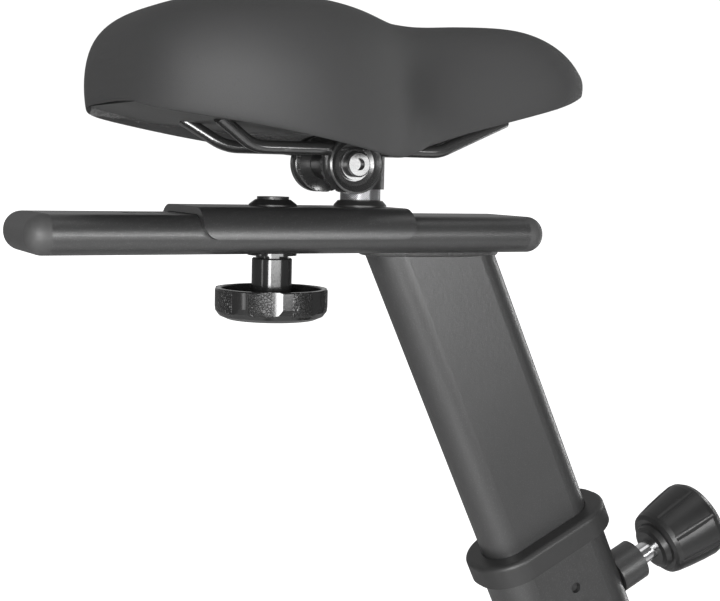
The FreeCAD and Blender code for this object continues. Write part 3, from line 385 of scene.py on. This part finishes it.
def display_glass():
    """Dark window over a plain segment display: bars and a rule, no writing."""
    f = Finish("display_glass")
    low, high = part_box("console_screen")
    x, y, z = f.axes(tuple((Vector(low) + Vector(high)) / 2))
    along = x * math.cos(math.radians(32)) + z * math.sin(math.radians(32))
    window = (1.0 - along.size().between(0.0245, 0.0250)) * (1.0 - y.size().between(0.052, 0.0525))
    row = 1.0 - (along + 0.012).size().between(0.005, 0.0052)
    bars = (y * (math.tau / 0.0085)).sine().between(-0.1, 0.0) * row
    rule = 1.0 - (along - 0.006).size().between(0.0004, 0.0006)
    lit = window * bars.larger(rule)
    pane = f.blend(window, (0.006, 0.006, 0.007), (0.055, 0.062, 0.055))
    colour = f.blend(lit * 0.85, pane, (0.012, 0.014, 0.012))
    smear = f.grain(40, 4.0, 0.7)
    return f.done(Base_Color=colour, Roughness=0.08 + smear * 0.10, Coat_Weight=window * 0.6,
                  Normal=f.relief(smear, 0.00005, 0.2))


def floor_paint():
    """Pale floor that looks evenly lit from the camera."""
    f = Finish("floor_paint")
    cloud = f.grain(2, 2.0)
    colour = f.blend(cloud, (0.78,) * 3, (0.82,) * 3)
    paint = f.add("ShaderNodeBsdfPrincipled", None, {"Base Color": colour, "Roughness": 0.9})["BSDF"]
    glow = f.add("ShaderNodeEmission", None, {"Color": (1.0, 1.0, 1.0), "Strength": 1.1})["Emission"]
    bright = f.add("ShaderNodeAddShader", None, {0: paint, 1: glow})["Shader"]
    seen = f.add("ShaderNodeLightPath")["Is Camera Ray"]
    surface = f.add("ShaderNodeMixShader", None, {0: seen, 1: paint, 2: bright})["Shader"]
    f.add("ShaderNodeOutputMaterial", None, {"Surface": surface})
    return f.material


FINISHES = {
    "frame": (lambda: powder_coat("powder_coat", bpy.context.scene.bike_finish.coat_tone), (
        "seat_post", "seat_rail", "carriage", "seat_tube", "main_tube", "base_beam", "floor_beam",
        "head_tube", "fork_blades", "bottom_bracket_shell", "front_stabiliser", "rear_stabiliser", "welded_bosses",
        "handlebar_post", "handlebar", "console_bracket")),
    "collar": (lambda: moulded("collar_plastic", 0.017, 0.42), ("seat_tube_collar", "handlebar_collar")),
    "caps": (lambda: moulded("cap_plastic", 0.040, 0.5, 1200.0), ("rail_end_caps", "stabiliser_end_caps")),
    "covers": (lambda: moulded("cover_plastic", 0.018, 0.36, 700.0), (
        "belt_cover_outer", "belt_cover_inner", "console_housing", "saddle_base", "drive_pulley")),
    "carriage_knob": (lambda: knob_gloss("carriage_knob_plastic", 0.012, KNOB_PANELS, KNOB_AXIS),
                      ("carriage_knob",)),
    "pull_knobs": (lambda: knob_gloss("pull_knob_plastic", 0.013, rough=0.3), (
        "seat_pin_knob", "handlebar_pin_knob", "brake_knob")),
    "stub": (knurled_stub, ("saddle_pin",)),
    "boss": (lambda: black_steel("boss_steel", 0.012, 0.3, 0.2), ("carriage_boss", "clamp_sleeve")),
    "clamp": (lambda: black_steel("clamp_steel", 0.10, 0.12), (
        "clamp_cheeks", "clamp_bolt", "saddle_rails", "crank_arm_left", "crank_arm_right", "brake_lever",
        "flywheel_pulley")),
    "pins": (bright_steel, (
        "seat_pin_plunger", "handlebar_pin_plunger", "brake_rod")),
    "shafts": (ground_steel, (
        "crank_spindle", "crank_bearings", "flywheel_bearings", "flywheel_axle", "pedal_axles")),
    "flywheel": (machined_iron, ("flywheel",)),
    "pedals": (black_alloy, ("pedal_left", "pedal_right")),
    "rubber": (lambda: rubber("rubber"), (
        "levelling_feet", "transport_wheel_left", "transport_wheel_right", "console_button")),
    "belt": (lambda: rubber("belt_rubber", 0.01, 0.0024), ("drive_belt",)),
    "grips": (foam_grip, ("handlebar_grips",)),
    "straps": (webbing, ("toe_strap_left", "toe_strap_right")),
    "display": (display_glass, ("console_screen",)),
}


# ---- helpers ---------------------------------------------------------------------------------

def settle():
    """Nothing selected and nothing in edit mode."""
    if bpy.context.object and bpy.context.object.mode != "OBJECT":
        bpy.ops.object.mode_set(mode="OBJECT")
    bpy.ops.object.select_all(action="DESELECT")


def only(piece):
    settle()
    piece.hide_set(False)
    piece.select_set(True)
    bpy.context.view_layer.objects.active = piece
    return piece


def seat_down(piece, name, body, finish):
    """Names a finished piece, puts its place into its mesh and lets it ride on a body."""
    only(piece)
    bpy.ops.object.transform_apply(location=True, rotation=True, scale=True)
    piece.name = name
    piece.data.name = name
    piece.data.materials.clear()
    piece.data.materials.append(finish)
    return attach(piece, body)


def tilt_to(direction):
    """Turn that points a primitive's own Z along a direction."""
    return Vector(direction).to_track_quat("Z", "Y").to_euler()


def mesh_object(name, points, faces):
    mesh = bpy.data.meshes.new(name)
    mesh.from_pydata([tuple(p) for p in points], [], faces)
    mesh.update()
    piece = bpy.data.objects.new(name, mesh)
    bpy.context.scene.collection.objects.link(piece)
    return piece


# ---- saddle ----------------------------------------------------------------------------------

# Along the saddle from the stub: place, half width, top, hem and how square the shoulder is.
SADDLE_STATIONS = [
    (-143.5, 42.0, 90.0, 64.0, 0.2), (-140.5, 60.0, 100.0, 61.0, 0.5), (-133.0, 74.0, 109.0, 58.5, 0.8),
    (-119.0, 84.0, 115.5, 56.0, 1.0), (-102.0, 92.0, 118.6, 53.2, 1.0), (-84.0, 95.0, 119.7, 49.8, 1.0),
    (-64.0, 93.0, 120.6, 46.8, 1.0), (-46.0, 87.0, 120.4, 44.0, 1.0), (-28.0, 77.0, 119.0, 41.4, 0.9),
    (-12.0, 65.0, 116.7, 39.0, 0.75), (2.0, 52.0, 114.2, 40.0, 0.5), (16.0, 41.0, 112.4, 44.2, 0.3),
    (34.0, 32.5, 112.6, 49.6, 0.15), (54.0, 28.0, 114.6, 55.0, 0.1), (76.0, 25.5, 116.6, 60.5, 0.1),
    (98.0, 24.0, 117.0, 66.0, 0.1), (117.0, 22.0, 112.0, 71.0, 0.0), (131.0, 18.0, 103.5, 76.0, 0.0),
    (140.5, 11.0, 93.0, 80.5, 0.0)]
# Round half a section, from the middle of the top to the middle of the underside: across, and up.
SQUARE_SHOULDER = [(0.0, 1.0), (0.3, 1.0), (0.58, 0.975), (0.80, 0.885), (0.94, 0.70), (1.0, 0.45),
                   (0.99, 0.22),
                   (0.965, 0.05), (0.935, 0.0), (0.895, 0.05), (0.84, 0.18), (0.5, 0.24), (0.0, 0.25)]
ROUND_SHOULDER = [(0.0, 1.0), (0.32, 0.985), (0.6, 0.925), (0.82, 0.80), (0.95, 0.60), (1.0, 0.40),
                  (0.985, 0.20),
                  (0.94, 0.05), (0.88, 0.0), (0.80, 0.04), (0.70, 0.16), (0.4, 0.24), (0.0, 0.25)]


def saddle_ring(place, half, top, hem, square):
    """One closed section of the saddle, as points in metres in the bike's frame."""
    side = []
    for (a, b), (c, d) in zip(SQUARE_SHOULDER, ROUND_SHOULDER):
        across = c + (a - c) * square
        up = d + (b - d) * square
        side.append((half * across, hem + (top - hem) * up))
    ring = [(y, z) for y, z in side] + [(-y, z) for y, z in side[-2:0:-1]]
    return [SADDLE_DATUM + Vector((place, y, z)) / 1000 for y, z in ring]


def saddle_cage(name, shrink=0.0):
    rings = [saddle_ring(x, max(half - shrink, 4), top - shrink, hem, square)
             for x, half, top, hem, square in SADDLE_STATIONS]
    count = len(rings[0])
    points = [p for ring in rings for p in ring]
    faces = []
    for i in range(len(rings) - 1):
        for j in range(count):
            k = (j + 1) % count
            a, b = i * count, (i + 1) * count
            faces.append((a + j, a + k, b + k, b + j))
    for end, turn in ((0, 1), (len(rings) - 1, -1)):
        base = end * count
        half = count // 2
        for j in range(half):
            near, far = base + j, base + j + 1
            other, beyond = base + (count - j) % count, base + count - j - 1
            cap = [near, far, beyond, other] if other != near else [near, far, beyond]
            if far == beyond:
                cap = cap[:2] + [other]
            faces.append(tuple(cap if turn > 0 else cap[::-1]))
    return mesh_object(name, points, faces)


class SaddleSettings(bpy.types.PropertyGroup):
    """Stuffing and hem of the saddle."""
    pressure: bpy.props.FloatProperty(name="Stuffing pressure",
                                      description="How hard the foam pushes the cover out",
                                      default=3.0, min=0.0)
    travel: bpy.props.FloatProperty(name="Greatest swell",
                                    description="Farthest a point of the cover may move",
                                    default=0.0016, min=0.0, unit="LENGTH")


class FinishSettings(bpy.types.PropertyGroup):
    """Colours a user would change."""
    coat_tone: bpy.props.FloatProperty(name="Frame tone", description="Lightness of the frame's powder coat",
                                       default=0.017, min=0.0, max=1.0, subtype="FACTOR")


class TrimSettings(bpy.types.PropertyGroup):
    """Sizes of the small fasteners and the weld."""
    bead: bpy.props.FloatProperty(name="Weld bead", description="Radius of the weld under the saddle rail",
                                  default=0.0022, min=0.0005, unit="LENGTH")
    screw: bpy.props.FloatProperty(name="Cover screw", description="Radius of a belt cover screw's head",
                                   default=0.0042, min=0.001, unit="LENGTH")


class BIKE_OT_finishes(bpy.types.Operator):
    """Give every shown piece of the frame its finish"""
    bl_idname = "bike.finishes"
    bl_label = "Finishes"

    def execute(self, context):
        given = set()
        for make, nodes in FINISHES.values():
            finish = make()
            for node in nodes:
                NODES[node].data.materials.clear()
                NODES[node].data.materials.append(finish)
                given.add(node)
        bare = set(NODES) - given - {"saddle_pad"}
        if bare:
            raise RuntimeError("no finish for " + ", ".join(sorted(bare)))
        return {"FINISHED"}


class BIKE_OT_saddle(bpy.types.Operator):
    """Stuff the saddle cover and lay the backing cloth under it"""
    bl_idname = "bike.saddle"
    bl_label = "Saddle"

    def execute(self, context):
        settings = context.scene.bike_saddle
        pad = saddle_cage("saddle_cover", 0.3)
        only(pad)
        smooth = pad.modifiers.new("Fullness", "SUBSURF")
        smooth.levels = smooth.render_levels = 2
        bpy.ops.object.modifier_apply(modifier=smooth.name)
        bpy.ops.object.mode_set(mode="EDIT")
        bpy.ops.mesh.select_all(action="SELECT")
        bpy.ops.mesh.normals_make_consistent(inside=False)
        bpy.ops.object.mode_set(mode="OBJECT")
        stuff(pad, settings)
        bpy.ops.object.shade_smooth()
        vinyl, cloth = saddle_vinyl(), underside_cloth()
        seat_down(pad, "saddle_cover", "saddle", vinyl)
        pad.data.materials.append(cloth)
        mark_underside(pad)
        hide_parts("saddle_pad")
        return {"FINISHED"}


def stuff(pad, settings):
    """Swells the cover with a short cloth simulation, with each point's travel capped."""
    scene = bpy.context.scene
    only(pad)
    before = [v.co.copy() for v in pad.data.vertices]
    cloth = pad.modifiers.new("Stuffing", "CLOTH")
    cloth.settings.use_pressure = True
    cloth.settings.uniform_pressure_force = settings.pressure
    cloth.settings.effector_weights.gravity = 0.0
    cloth.settings.tension_stiffness = cloth.settings.compression_stiffness = 40.0
    cloth.settings.bending_stiffness = 8.0
    cloth.settings.quality = 5
    cloth.point_cache.frame_start, cloth.point_cache.frame_end = 1, 20
    for moment in range(1, 21):
        scene.frame_set(moment)
    bpy.ops.object.modifier_apply(modifier=cloth.name)
    scene.frame_set(1)
    for vertex, start in zip(pad.data.vertices, before):
        step = vertex.co - start
        if step.length > settings.travel:
            vertex.co = start + step * (settings.travel / step.length)
    calm = pad.modifiers.new("Calm", "SMOOTH")
    calm.factor, calm.iterations = 0.5, 1
    bpy.ops.object.modifier_apply(modifier=calm.name)
    fine = pad.modifiers.new("Fine", "SUBSURF")
    fine.levels = fine.render_levels = 1
    bpy.ops.object.modifier_apply(modifier=fine.name)


def hem_at(place):
    """Height of the hem above the datum at a place along the saddle, all in millimetres."""
    rows = SADDLE_STATIONS
    if place <= rows[0][0]:
        return rows[0][3]
    for (x0, _, _, h0, _), (x1, _, _, h1, _) in zip(rows, rows[1:]):
        if place <= x1:
            return h0 + (h1 - h0) * (place - x0) / (x1 - x0)
    return rows[-1][3]


def half_at(place):
    rows = SADDLE_STATIONS
    if place <= rows[0][0]:
        return rows[0][1]
    for (x0, w0, *_), (x1, w1, *_) in zip(rows, rows[1:]):
        if place <= x1:
            return w0 + (w1 - w0) * (place - x0) / (x1 - x0)
    return rows[-1][1]


def mark_underside(pad):
    """Faces inside the hem take the backing cloth."""
    for face in pad.data.polygons:
        centre = (face.center - SADDLE_DATUM) * 1000
        inside = abs(centre.y) < half_at(centre.x) * 0.9 - 2.0 and -136 < centre.x < 134
        if face.normal.z < -0.05 and inside and centre.z < hem_at(centre.x) + 24:
            face.material_index = 1


class BIKE_OT_weld(bpy.types.Operator):
    """Run the weld bead where the saddle post meets its rail"""
    bl_idname = "bike.weld"
    bl_label = "Post weld"

    def execute(self, context):
        settings = context.scene.bike_trim
        foot = SADDLE_DATUM + POST_FOOT
        bpy.ops.curve.primitive_nurbs_circle_add(radius=1.0, location=(0, 0, 0))
        bead = context.object
        bpy.ops.object.mode_set(mode="EDIT")
        bpy.ops.curve.select_all(action="SELECT")
        bpy.ops.curve.subdivide(number_cuts=3)
        bpy.ops.object.mode_set(mode="OBJECT")
        spline = bead.data.splines[0]
        count = len(spline.points)
        for i, point in enumerate(spline.points):
            angle = math.tau * i / count
            across, ahead = math.sin(angle), math.cos(angle)
            flat = (abs(across) ** 3.0 + abs(ahead) ** 3.0) ** (-1 / 3.0)
            x = ahead * flat * POST_HALF_DEPTH / math.cos(POST_LEAN)
            y = across * flat * POST_HALF_WIDTH
            point.co = (foot.x + x, y, foot.z - 0.0006, 1)
        bead.data.bevel_depth = settings.bead
        bead.data.bevel_resolution = 4
        bead.data.resolution_u = 6
        only(bead)
        bpy.ops.object.convert(target="MESH")
        bead = context.object
        bpy.ops.object.shade_smooth()
        f = Finish("weld_coat")
        ripple = f.grain(420, 3.0, 0.6)
        colour = f.blend(ripple, (0.020,) * 3, (0.045,) * 3)
        finish = f.done(Base_Color=colour, Roughness=0.42 + ripple * 0.1,
                        Normal=f.relief(ripple, 0.0012, 0.7))
        seat_down(bead, "post_weld", "seat_mast", finish)
        return {"FINISHED"}


def screw_head(place, facing, radius, name, body, finish, thick=0.7, land=0.22, sink=0.4):
    """A domed round head facing outwards, with a flat land and a sunk middle, all as shares of its radius."""
    settle()
    facing = Vector(facing).normalized()
    bpy.ops.mesh.primitive_cylinder_add(vertices=48, radius=radius, depth=radius * thick,
                                        location=Vector(place), rotation=tilt_to(facing))
    head = bpy.context.object
    bpy.ops.object.transform_apply(location=True, rotation=True, scale=True)
    bpy.ops.object.mode_set(mode="EDIT")
    bpy.ops.mesh.select_mode(type="FACE")
    bpy.ops.mesh.select_all(action="DESELECT")
    bpy.ops.object.mode_set(mode="OBJECT")
    for face in head.data.polygons:
        face.select = face.normal.dot(facing) > 0.9
    bpy.ops.object.mode_set(mode="EDIT")
    bpy.ops.mesh.bevel(offset=radius * min(0.28, thick * 0.4), segments=4, affect="EDGES")
    bpy.ops.mesh.select_all(action="DESELECT")
    bpy.ops.object.mode_set(mode="OBJECT")
    top = max(head.data.polygons, key=lambda p: p.center.dot(facing))
    top.select = True
    bpy.ops.object.mode_set(mode="EDIT")
    bpy.ops.mesh.inset(thickness=radius * land)
    bpy.ops.mesh.inset(thickness=radius * 0.02)
    bpy.ops.mesh.extrude_region_move(TRANSFORM_OT_translate={"value": -facing * radius * sink})
    bpy.ops.mesh.inset(thickness=radius * 0.05)
    bpy.ops.object.mode_set(mode="OBJECT")
    bpy.ops.object.shade_smooth_by_angle(angle=math.radians(35))
    return seat_down(head, name, body, finish)


class BIKE_OT_screws(bpy.types.Operator):
    """Screw down the belt cover and the crank ends"""
    bl_idname = "bike.screws"
    bl_label = "Screws"

    def execute(self, context):
        radius = context.scene.bike_trim.screw
        finish = black_steel("screw_steel", 0.03, 0.22)
        low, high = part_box("belt_cover_outer")
        face_y = low[1]
        run = AXLE - CRANK
        tilt = math.asin((0.115 - 0.048) / Vector((run.x, 0, run.z)).length)
        course = math.atan2(run.z, run.x)
        top, under = course + math.pi / 2 - tilt, course - math.pi / 2 + tilt
        spots = []
        for angle in (top, top + 0.9, top + 1.75, under - 1.75 + math.tau, under - 0.9, under):
            spots.append(CRANK + Vector((math.cos(angle), 0, math.sin(angle))) * 0.102)
        for angle in (top - 0.2, course, under + 0.2):
            spots.append(AXLE + Vector((math.cos(angle), 0, math.sin(angle))) * 0.036)
        for index, spot in enumerate(spots):
            screw_head((spot.x, face_y - radius * 0.2, spot.z), (0, -1, 0), radius,
                       "cover_screw_%d" % index, "frame", finish)
        for side, name in ((-1, "right"), (1, "left")):
            screw_head((CRANK.x, side * 0.0832, CRANK.z), (0, side, 0), 0.0105,
                       "crank_bolt_" + name, "cranks", finish)
            wheel_low, wheel_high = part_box("transport_wheel_" + name)
            hub = middle("transport_wheel_" + name)
            end = wheel_high[1] if side > 0 else wheel_low[1]
            screw_head((hub.x, end, hub.z), (0, side, 0), 0.009, "wheel_cap_" + name, "wheel_" + name,
                       finish, 0.5, 0.3, 0.08)
        return {"FINISHED"}


def studio_world():
    """White surround for the camera; for the bike, bright behind it and dim in front."""
    world = bpy.data.worlds.new("studio")
    world.use_nodes = True
    tree = world.node_tree
    tree.nodes.clear()
    out = tree.nodes.new("ShaderNodeOutputWorld")
    shades = []
    for strength in (WORLD_DIM, WORLD_BRIGHT, WORLD_SEEN):
        shade = tree.nodes.new("ShaderNodeBackground")
        shade.inputs["Color"].default_value = (1, 1, 1, 1)
        shade.inputs["Strength"].default_value = strength
        shades.append(shade.outputs[0])
    way = tree.nodes.new("ShaderNodeTexCoord")
    facing = tree.nodes.new("ShaderNodeVectorMath")
    facing.operation = "DOT_PRODUCT"
    facing.inputs[1].default_value = (0.45, 0.88, 0.12)
    spread = tree.nodes.new("ShaderNodeMapRange")
    spread.interpolation_type = "SMOOTHSTEP"
    spread.inputs["From Min"].default_value = -0.15
    spread.inputs["From Max"].default_value = 0.75
    tree.links.new(way.outputs["Generated"], facing.inputs[0])
    tree.links.new(facing.outputs["Value"], spread.inputs["Value"])
    lit, final = tree.nodes.new("ShaderNodeMixShader"), tree.nodes.new("ShaderNodeMixShader")
    seen = tree.nodes.new("ShaderNodeLightPath")
    tree.links.new(spread.outputs["Result"], lit.inputs["Fac"])
    tree.links.new(shades[0], lit.inputs[1])
    tree.links.new(shades[1], lit.inputs[2])
    tree.links.new(seen.outputs["Is Camera Ray"], final.inputs["Fac"])
    tree.links.new(lit.outputs[0], final.inputs[1])
    tree.links.new(shades[2], final.inputs[2])
    tree.links.new(final.outputs[0], out.inputs["Surface"])
    return world


class BIKE_OT_stage(bpy.types.Operator):
    """Set the floor, the lights and the camera"""
    bl_idname = "bike.stage"
    bl_label = "Stage"

    def execute(self, context):
        scene = context.scene
        settle()
        bpy.ops.mesh.primitive_plane_add(size=60, location=(0, 0, 0))
        floor = context.object
        floor.name = "floor"
        floor.data.materials.append(floor_paint())
        scene.world = studio_world()
        for name, offset, wide, tall, power in LAMPS:
            lamp = bpy.data.lights.new(name, "AREA")
            lamp.shape = "RECTANGLE"
            lamp.size, lamp.size_y = wide, tall
            lamp.energy = power
            holder = bpy.data.objects.new(name, lamp)
            scene.collection.objects.link(holder)
            holder.location = SADDLE_DATUM + Vector(offset)
            holder.rotation_euler = (-Vector(offset)).to_track_quat("-Z", "Y").to_euler()
        yaw, pitch, roll = CAMERA_TURNS
        ahead = Vector((math.sin(yaw) * math.cos(pitch), math.cos(yaw) * math.cos(pitch), -math.sin(pitch)))
        right = Vector((math.cos(yaw), -math.sin(yaw), 0))
        up = right.cross(ahead)
        level = right * math.cos(roll) + up * math.sin(roll)
        upright = up * math.cos(roll) - right * math.sin(roll)
        lens = bpy.data.cameras.new("camera")
        lens.sensor_width = 36.0
        lens.lens = LENS
        lens.shift_x, lens.shift_y = LENS_SHIFT
        lens.clip_start, lens.clip_end = 0.01, 100
        camera = bpy.data.objects.new("camera", lens)
        scene.collection.objects.link(camera)
        camera.matrix_world = Matrix.Translation(SADDLE_DATUM + CAMERA_PLACE) @ Matrix((
            (level.x, upright.x, -ahead.x, 0), (level.y, upright.y, -ahead.y, 0),
            (level.z, upright.z, -ahead.z, 0), (0, 0, 0, 1)))
        scene.camera = camera
        scene.view_settings.view_transform = "Standard"
        return {"FINISHED"}


class BIKE_PT_panel(bpy.types.Panel):
    """The bike's parts, in the order they are made"""
    bl_label = "Exercise bike"
    bl_idname = "BIKE_PT_panel"
    bl_space_type = "VIEW_3D"
    bl_region_type = "UI"
    bl_category = "Bike"

    def draw(self, context):
        for group in (context.scene.bike_saddle, context.scene.bike_finish, context.scene.bike_trim):
            for name in group.__annotations__:
                self.layout.prop(group, name)
        for operator in OPERATORS:
            self.layout.operator(operator.bl_idname)


OPERATORS = (BIKE_OT_finishes, BIKE_OT_saddle, BIKE_OT_weld, BIKE_OT_screws, BIKE_OT_stage)
GROUPS = {"bike_saddle": SaddleSettings, "bike_finish": FinishSettings, "bike_trim": TrimSettings}


def register():
    for group in GROUPS.values():
        bpy.utils.register_class(group)
    for name, group in GROUPS.items():
        setattr(bpy.types.Scene, name, bpy.props.PointerProperty(type=group))
    for operator in OPERATORS:
        bpy.utils.register_class(operator)
    bpy.utils.register_class(BIKE_PT_panel)


def unregister():
    bpy.utils.unregister_class(BIKE_PT_panel)
    for operator in reversed(OPERATORS):
        bpy.utils.unregister_class(operator)
    for name in GROUPS:
        delattr(bpy.types.Scene, name)
    for group in GROUPS.values():
        bpy.utils.unregister_class(group)


def main():
    register()
    for operator in OPERATORS:
        family, name = operator.bl_idname.split(".")
        getattr(getattr(bpy.ops, family), name)()


if __name__ == "__main__":
    main()
